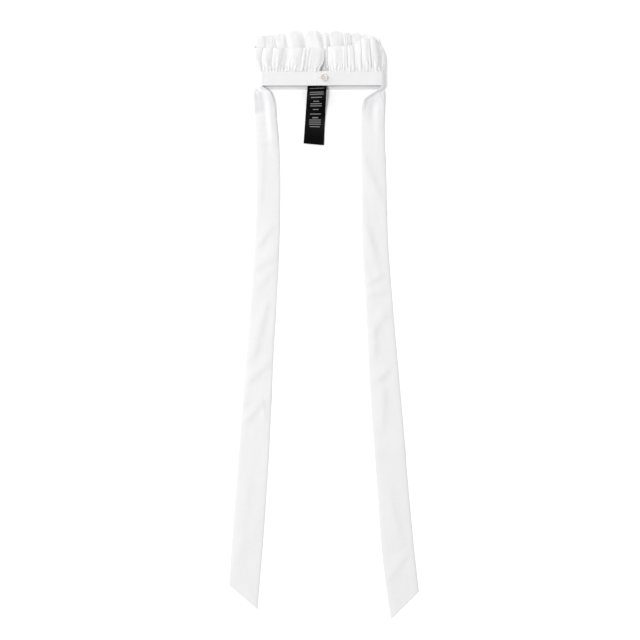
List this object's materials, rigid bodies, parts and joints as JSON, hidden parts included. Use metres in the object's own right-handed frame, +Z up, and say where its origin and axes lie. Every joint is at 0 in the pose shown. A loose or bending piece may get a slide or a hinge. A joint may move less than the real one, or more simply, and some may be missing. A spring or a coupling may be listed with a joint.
{
  "type": "ruffled neckband collar with ties",
  "caption": "White cotton neckband collar lying flat, buttoned at the front, with a gathered frill along its top edge and two long slant-ended neck ties.",
  "frame": {"origin": "middle of the back panel's underside, on the surface that the collar lies on", "axes": "+Z up from the surface, +Y from the tie ends towards the frill, +X to the right as seen from above"},
  "size_m": [0.2691, 0.8347, 0.0243],
  "materials": {
    "cotton": "matt plain-weave cotton",
    "voile": "matt fine cotton voile",
    "shell": "polished pearl shell look",
    "thread": "matt sewing thread",
    "satin": "black satin ribbon, softly glossy"
  },
  "bodies": {
    "root": {"neckband": "cotton", "ruffle": "voile", "tie_left": "cotton", "tie_right": "cotton", "button": "shell", "button_thread": "thread", "care_label": "satin"}
  },
  "joints": []
}
